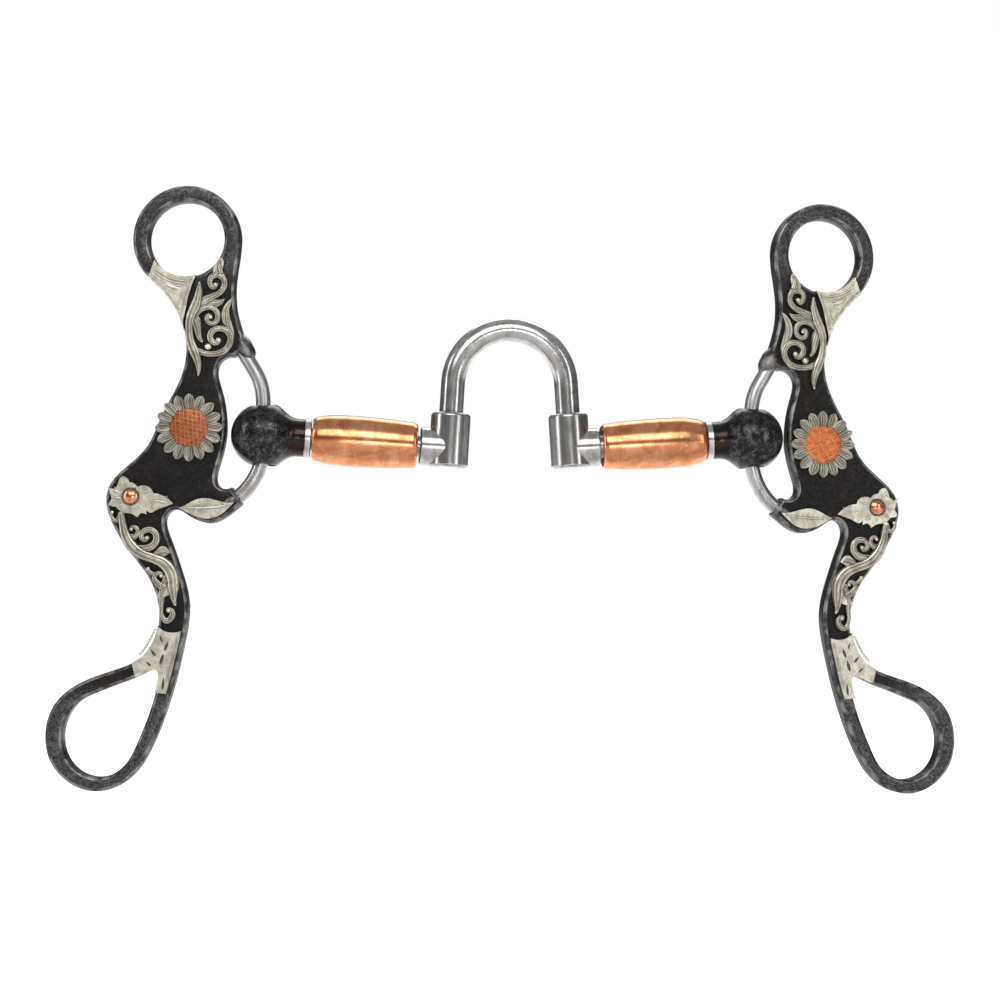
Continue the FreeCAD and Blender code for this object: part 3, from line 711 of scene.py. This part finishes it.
def crossing_marks(line, first, last, count, width, reach):
    """Short cuts across a stem between two of its points, like turns of rope."""
    points = line[0]
    marks = []
    for k in range(count):
        share = first + (last - first) * (k + 0.5) / count
        spot = int(share)
        a, b = Vector(points[spot]), Vector(points[min(spot + 1, len(points) - 1)])
        here = a.lerp(b, share - spot)
        along = (b - a).normalized()
        side_step = Vector((-along.y, along.x)) * reach + along * reach * 0.45
        marks.append(even([tuple(here - side_step), tuple(here), tuple(here + side_step)], width))
    return marks


def neck_scroll(side):
    stems = [CRESCENT, TOP_VOLUTE, MIDDLE_VOLUTE, LOW_VOLUTE]
    carved = sweep(side + "_neck_stems", stems + NECK_LEAVES, CARVED)
    ropes = crossing_marks(TOP_VOLUTE, 0.6, 3.2, 9, 0.30, 0.42)
    ropes += crossing_marks(LOW_VOLUTE, 1.0, 4.0, 12, 0.30, 0.42)
    twisted = sweep(side + "_neck_rope", ropes, RIDGE, SILVER + 0.10 * MM, 2)
    eyes = domes(side + "_neck_eyes", NECK_EYES)
    return mount_on(joined(side + "_neck_relief", [carved, twisted, eyes]), side)


for side in SIDES:
    print(neck_scroll(side).name, "is", len(bpy.context.object.data.polygons), "faces")

# %% [markdown]
# The shank scroll falls from the rose and ends in a hook over the rein panel.

# %% Shank scroll
SHANK_STEMS = [
    ([(37.2, -22.3), (36.8, -24.8), (36.1, -27.6), (34.4, -30.6), (31.6, -32.8), (28.6, -33.9),
      (25.7, -35.3), (23.6, -38.2), (23.2, -42.0), (22.7, -45.8)],
     [1.5, 1.8, 2.4, 2.7, 2.4, 2.3, 2.8, 3.1, 2.6, 0.4]),
    ([(37.5, -22.9), (38.6, -23.9), (39.7, -23.0), (39.7, -21.6)], [1.2, 0.9, 0.8, 0.7]),
    ([(34.6, -28.2), (33.2, -27.9), (32.7, -26.6), (33.6, -25.6), (34.6, -26.2)],
     [1.4, 1.2, 1.0, 0.9, 0.7]),
    ([(33.0, -31.2), (31.0, -31.3), (28.8, -30.6), (27.7, -28.6), (28.6, -26.7), (30.5, -26.4),
      (31.8, -27.8), (31.0, -29.0), (30.0, -28.4)],
     [1.5, 1.7, 1.8, 1.7, 1.5, 1.4, 1.3, 1.1, 0.7]),
    ([(25.4, -41.8), (27.3, -40.6), (28.2, -38.8), (27.0, -37.8), (26.2, -38.7)],
     [1.6, 1.5, 1.1, 0.9, 0.7]),
    ([(28.0, -38.2), (29.2, -37.7), (29.9, -36.7)], [0.9, 0.8, 0.6]),
    ([(26.2, -44.2), (26.3, -46.6), (26.1, -49.0), (25.0, -50.4), (23.6, -49.6), (23.4, -48.0),
      (24.4, -47.5)],
     [1.2, 1.0, 1.0, 1.4, 1.5, 1.3, 1.1]),
    ([(27.6, -32.6), (26.2, -32.0), (24.6, -32.5)], [1.4, 1.1, 0.4]),
    ([(24.6, -38.6), (25.9, -41.0), (26.6, -44.0)], [1.0, 1.6, 0.5]),
]
SHANK_EYES = [(30.3, -28.5, 0.6), (34.5, -26.2, 0.5), (39.6, -21.7, 0.5), (26.4, -38.6, 0.5),
              (29.9, -36.7, 0.55), (24.3, -47.7, 0.62)]


def shank_scroll(side):
    carved = sweep(side + "_shank_stems", SHANK_STEMS, CARVED)
    hatches = crossing_marks(SHANK_STEMS[0], 3.4, 7.6, 16, 0.24, 0.62)
    cuts = sweep(side + "_shank_hatch", hatches, RIDGE, SILVER + 0.06 * MM, 2)
    eyes = domes(side + "_shank_eyes", SHANK_EYES)
    return mount_on(joined(side + "_shank_relief", [carved, cuts, eyes]), side)


for side in SIDES:
    print(shank_scroll(side).name)

# %% [markdown]
# Each sunflower petal is chased from the front: a bright raised rim, a hollow inside it and a
# keel down the middle. The relief section already has that shape, so one petal is a short
# straight sweep that swells and runs out to a point. Sixteen copies make the ring, each
# turned a little out of step, as the chaser's hand leaves them.

# %% Sunflower petals
PETALS = 16
PETAL_SWAY = 1.8                           # degrees that a petal may stand out of step
PETAL_LINE = ([(5.1, 0), (6.3, 0), (7.4, 0), (8.4, 0), (9.05, 0)], [1.45, 1.85, 2.00, 1.25, 0.15])


def sunflower(side):
    low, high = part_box(side + "_sunflower_disc")
    middle = lay(side).inverted() @ ((low + high) / 2)
    middle.z = 0
    master = sweep("petal", [PETAL_LINE], PETAL, SILVER + 0.02 * MM, 6)
    ring = []
    for k in range(PETALS):
        petal = twin(master, side + "_petal")
        sway = math.radians(PETAL_SWAY) * math.sin(k * 2.4)
        turn = Matrix.Rotation(k * 2 * math.pi / PETALS + sway, 4, "Z")
        petal.data.transform(Matrix.Translation(middle) @ turn)
        ring.append(petal)
    bpy.data.objects.remove(master)
    return mount_on(joined(side + "_petals", ring), side, 28)


for side in SIDES:
    print(sunflower(side).name, "has", PETALS, "petals")

# %% [markdown]
# The corner panel under the ring is engraved with drapes that follow the ring's hole, a
# bright lens between them, and wriggle borders: a graver is rocked from side to side as it
# moves on, which leaves a fine zigzag. The drapes are arcs, and the zigzag is worked out from
# the border's line.

# %% Ring panel
WRIGGLE_PITCH = 0.62                       # mm between two turns of the zigzag on one side
WRIGGLE_REACH = 0.26                       # mm that it swings to each side
WRIGGLE_WIDTH = 0.30
DRAPE_POINTS = 9


def wriggle(points):
    """Zigzag line along a border."""
    turns = []
    swing = 1
    for a, b in zip(points, points[1:]):
        a, b = Vector(a), Vector(b)
        along = (b - a).normalized()
        across = Vector((-along.y, along.x))
        count = max(2, round((b - a).length / WRIGGLE_PITCH * 2))
        for k in range(count):
            here = a.lerp(b, k / count) + across * WRIGGLE_REACH * swing
            turns.append(tuple(here))
            swing = -swing
    return turns, [WRIGGLE_WIDTH] * len(turns)


def drape(radius, first, last, width):
    """Arc about the ring hole's centre, from one angle to another in degrees."""
    points = []
    for k in range(DRAPE_POINTS):
        angle = math.radians(first + (last - first) * k / (DRAPE_POINTS - 1))
        points.append((RING.x / MM + radius * math.cos(angle), RING.y / MM + radius * math.sin(angle)))
    return even(points, width)


RING_BORDERS = [
    [(18.80, 40.8), (19.4, 39.0), (20.5, 35.5), (21.2, 32.4), (21.6, 30.6)],
    [(30.1, 41.8), (28.2, 40.0), (26.0, 37.9), (23.6, 34.8), (22.1, 32.0)],
]
RING_LENS = ([(26.6, 39.6), (25.0, 38.8), (23.4, 38.2), (21.6, 37.8)], [0.3, 1.1, 1.1, 0.3])


def ring_panel(side):
    lines = [drape(11.4, -43, -94, 0.44), drape(12.15, -45, -92, 0.44), drape(12.9, -48, -91, 0.38)]
    lines += [even([(21.4, 37.0), (22.0, 35.0), (22.4, 33.2)], 0.4),
              even([(22.6, 33.6), (24.3, 36.1), (26.8, 38.7)], 0.4)]
    drapes = sweep(side + "_drapes", lines, RIDGE, SILVER - 0.02 * MM)
    lens = sweep(side + "_lens", [RING_LENS], RIDGE, SILVER - 0.16 * MM)
    rims = sweep(side + "_ring_wriggle", [wriggle(border) for border in RING_BORDERS], RIDGE,
                 SILVER - 0.02 * MM, 2)
    return mount_on(joined(side + "_ring_engraving", [drapes, lens, rims]), side)


for side in SIDES:
    print(ring_panel(side).name)

# %% [markdown]
# The rein panel wraps the fork of the loop. It has wriggle borders on both long edges, and
# deep teardrop cuts. The cuts are real: lens-shaped cutters are taken away from a copy of the
# panel with a Boolean modifier.

# %% Rein panel
REIN_BORDERS = [
    [(21.9, -54.4), (22.8, -58.6), (23.8, -62.8), (24.8, -67.0)],
    [(27.9, -52.6), (29.0, -54.9), (30.4, -57.4), (32.2, -59.6)],
]
TEARDROP_DEPTH = 0.34
# middle x and y in mm, turn in degrees, half length and half width in mm
TEARDROPS = [(24.9, -57.1, 20, 1.35, 0.42), (26.1, -60.6, 16, 1.55, 0.46), (28.4, -58.9, -38, 1.1, 0.34),
             (25.7, -67.0, 6, 1.7, 0.36), (26.3, -55.2, -20, 1.0, 0.28), (29.6, -61.8, -52, 1.0, 0.26)]


def teardrop_cutters(side):
    cutters = []
    for x, y, turn, length, width in TEARDROPS:
        bpy.ops.object.select_all(action="DESELECT")
        bpy.ops.mesh.primitive_uv_sphere_add(segments=16, ring_count=10, radius=MM)
        cutter = bpy.context.object
        with editing(cutter):
            bpy.ops.transform.resize(value=(width, length, TEARDROP_DEPTH))
        for corner in cutter.data.vertices:
            corner.co.x *= 1.0 - 0.55 * max(0.0, corner.co.y / (length * MM))
        spin = Matrix.Rotation(math.radians(turn), 4, "Z")
        cutter.data.transform(Matrix.Translation((x * MM, y * MM, SILVER + 0.04 * MM)) @ spin)
        cutter.data.materials.append(DARK_CUT)
        cutters.append(cutter)
    cutter = joined(side + "_cutters", cutters)
    cutter.data.transform(lay(side))
    turn_out(cutter)
    return cutter


def rein_panel(side):
    panel = merged_twin(side + "_rein_panel", side + "_fork_panel")
    cutters = teardrop_cutters(side)
    only(panel)
    cut = panel.modifiers.new("cut", "BOOLEAN")
    cut.operation, cut.solver, cut.object = "DIFFERENCE", "EXACT", cutters
    cut.material_mode = "TRANSFER"
    bpy.ops.object.modifier_apply(modifier=cut.name)
    bpy.data.objects.remove(cutters)
    bpy.ops.object.shade_smooth_by_angle(angle=math.radians(30))
    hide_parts(side + "_rein_panel")
    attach(panel, side + "_cheek")
    borders = sweep(side + "_rein_wriggle", [wriggle(border) for border in REIN_BORDERS], RIDGE,
                    SILVER - 0.02 * MM, 2)
    mount_on(borders, side)
    return panel


for side in SIDES:
    print(rein_panel(side).name, "has", len(TEARDROPS), "cuts")

# %% [markdown]
# The leaf on the lug and the rose on the knee are veined. A leaf has a midrib and side veins
# that leave it at a slant, and the rose has a ridge for each petal and a fan of fine cuts
# where its own leaf starts.

# %% Lug leaf and knee rose
LEAF_RIB = [(20.8, -20.55), (17.6, -20.6), (14.2, -20.5), (10.8, -20.2), (8.3, -19.5)]
ROSE = (34.8, -17.5)
ROSE_TIPS = [(40.2, -15.4), (37.4, -13.0), (33.4, -15.2), (29.6, -15.9), (31.2, -21.2), (34.2, -21.6),
             (38.0, -20.4), (39.6, -18.0)]
SEAT_RADIUS, SEAT_WIRE = 2.12 * MM, 0.24 * MM


def lug_leaf(side):
    lines = [even(LEAF_RIB, 0.62)]
    for k in range(7):
        x = 18.6 - k * 1.45
        reach = 1.75 * math.sin(math.pi * (k + 1.4) / 9)
        lines.append(even([(x, -20.55), (x + 0.55, -20.55 + reach * 0.6), (x + 1.3, -20.5 + reach)], 0.26))
        lines.append(even([(x, -20.55), (x + 0.55, -20.6 - reach * 0.6), (x + 1.2, -20.6 - reach)], 0.26))
    return mount_on(sweep(side + "_leaf_veins", lines, RIDGE, SILVER - 0.03 * MM), side)


def knee_rose(side):
    lines = []
    middle = Vector(ROSE)
    for k, tip in enumerate(ROSE_TIPS):
        tip = Vector(tip)
        near = middle.lerp(tip, 2.35 / (tip - middle).length)
        lines.append(even([tuple(near), tuple(near.lerp(tip, 0.55)), tuple(tip)], 0.52))
        spread = Vector((-(tip - middle).y, (tip - middle).x)).normalized()
        for way in (-1, 1):
            end = near.lerp(tip, 0.78) + spread * way * 0.85
            start = near + spread * way * 0.3
            lines.append(even([tuple(start), tuple(near.lerp(end, 0.5)), tuple(end)], 0.24))
    lines.append(even([(29.4, -18.4), (27.0, -18.8), (24.2, -19.35)], 0.5))
    for k in range(6):
        x = 30.4 - k * 0.95
        lines.append(even([(x, -18.5), (x - 0.5, -19.5), (x - 0.7, -20.4 + 0.12 * k)], 0.22))
        lines.append(even([(x, -18.2), (x - 0.5, -17.5), (x - 0.9, -16.9 - 0.16 * k)], 0.22))
    return mount_on(sweep(side + "_rose_cuts", lines, RIDGE, SILVER - 0.04 * MM), side)


def bead_seat(side):
    """Dark ring round the copper bead."""
    bpy.ops.object.select_all(action="DESELECT")
    bpy.ops.mesh.primitive_torus_add(major_radius=SEAT_RADIUS, minor_radius=SEAT_WIRE,
                                     major_segments=40, minor_segments=10,
                                     location=(ROSE[0] * MM, ROSE[1] * MM, SILVER))
    seat = bpy.context.object
    bpy.ops.object.transform_apply(location=True, rotation=True, scale=True)
    with editing(seat):
        bpy.ops.mesh.bisect(plane_co=(0, 0, SILVER - 0.12 * MM), plane_no=(0, 0, 1), clear_inner=True)
        bpy.ops.mesh.select_all(action="SELECT")
        bpy.ops.mesh.fill_holes(sides=0)
    seat.name = seat.data.name = side + "_bead_seat"
    seat.data.materials.append(DARK_CUT)
    return mount_on(seat, side, 50)


for side in SIDES:
    print(lug_leaf(side).name, knee_rose(side).name, bead_seat(side).name)

# %% [markdown]
# The rod is welded to the neck and to the lug, and the welds were dressed with a file: each
# is a low swelling with an uneven skin. A sphere is drawn out along the rod, and smooth waves
# move its skin in and out.

# %% Welds
# middle in mm, lean of its long axis in degrees, radius in mm
WELDS = {"upper": ((5.1, 22.5), 58.5, 2.30), "lower": ((8.6, -18.8), 151, 2.14)}
WELD_SHAPE = (1.9, 1.0, 1.3)               # stretch along the rod, across it and out of the face
WELD_RIPPLES = 1800                        # radians of wave to a metre
WELD_SWELL = 0.012                         # share of the radius that one wave adds


def weld(side, name):
    (x, y), lean, radius = WELDS[name]
    bpy.ops.object.select_all(action="DESELECT")
    bpy.ops.mesh.primitive_uv_sphere_add(segments=40, ring_count=24, radius=radius * MM)
    bead = bpy.context.object
    with editing(bead):
        bpy.ops.transform.resize(value=WELD_SHAPE)
    for corner in bead.data.vertices:
        wave = WELD_RIPPLES * corner.co
        swell = math.sin(wave.x) + math.sin(1.7 * wave.y + 1) + math.sin(1.4 * wave.z + wave.x)
        corner.co *= 1.0 + WELD_SWELL * swell
    stand = Matrix.Rotation(math.radians(lean), 4, "Z")
    bead.data.transform(Matrix.Translation((x * MM, y * MM, 0)) @ stand)
    bead.name = bead.data.name = side + "_" + name + "_weld"
    bead.data.materials.append(EDGE_STEEL)
    return mount_on(bead, side, 60)


for side in SIDES:
    for name in WELDS:
        print(weld(side, name).name)

for shape in (CARVED, PETAL, RIDGE):
    bpy.data.objects.remove(shape)

# %% [markdown]
# A bright metal shows what stands round it, so the studio matters as much as the finish. A
# white floor glows below, and a large soft box hangs over the front and another behind. A
# strip box on each side draws the long highlights on the wire, and a small lamp low in front
# puts a spark on the balls. Reflections see a darker room than the eye does: without dark
# parts, steel looks like plaster.


# %% Studio
def soft_box(name, place, width, height, power):
    bpy.ops.object.select_all(action="DESELECT")
    bpy.ops.object.light_add(type="AREA", location=place)
    lamp = bpy.context.object
    lamp.name = name
    lamp.data.shape, lamp.data.size, lamp.data.size_y = "RECTANGLE", width, height
    lamp.data.energy = power
    lamp.rotation_euler = (-Vector(place)).to_track_quat("-Z", "Y").to_euler()
    return lamp


soft_box("front box", (-0.10, -0.80, 0.50), 0.80, 0.42, 4.2)
soft_box("key spot", (0.04, -0.74, -0.10), 0.16, 0.16, 0.8)
soft_box("right strip", (0.60, -0.62, 0.05), 0.10, 0.80, 1.3)
soft_box("left strip", (-0.72, -0.20, 0.10), 0.12, 0.80, 1.2)
soft_box("back box", (0.10, 0.60, 0.70), 0.80, 0.45, 3.4)

FLOOR_GAP = 0.3 * MM
bpy.ops.object.select_all(action="DESELECT")
bpy.ops.mesh.primitive_plane_add(size=40, location=(0, 0, cad_box[0].z - FLOOR_GAP))
floor = bpy.context.object
floor.name = "floor"
bpy.ops.object.transform_apply(location=True, rotation=True, scale=True)

paint = Finish("floor paint", Roughness=0.9, Base_Color=grey(0.8), Emission_Strength=1.0)
depth = paint.axis("Y")
seen_in_metal = paint.add("ShaderNodeLightPath", out="Is Glossy Ray")
card = paint.ramp(paint.step(depth, -0.4, 0.4), [
    (0.0, grey(0.16)), (1.0, grey(0.85)), (0.34, grey(0.08)), (0.46, grey(0.03)), (0.55, grey(0.70)),
])
paint.feed("Emission Color", paint.mix(seen_in_metal, grey(0.80), card))
floor.data.materials.append(paint.material)

world = bpy.data.worlds.new("studio")
bpy.context.scene.world = world
world.use_nodes = True
sky = Recipe(world.node_tree)
way = sky.add("ShaderNodeTexCoord", out="Generated")
rise = sky.add("ShaderNodeSeparateXYZ", None, {0: way}, "Z")
share = sky.add("ShaderNodeMapRange", None, {0: rise, "From Min": -0.2, "From Max": 1.0})
room = sky.ramp(share, [
    (0.0, grey(0.08)), (1.0, grey(0.45)), (0.15, grey(0.30)), (0.20, grey(0.05)), (0.40, grey(0.22)),
])
seen_by_camera = sky.add("ShaderNodeLightPath", out="Is Camera Ray")
backdrop = world.node_tree.nodes["Background"]
sky.tree.links.new(sky.mix(seen_by_camera, room, grey(1.0)).socket, backdrop.inputs["Color"])
bpy.context.scene.view_settings.view_transform = "Standard"
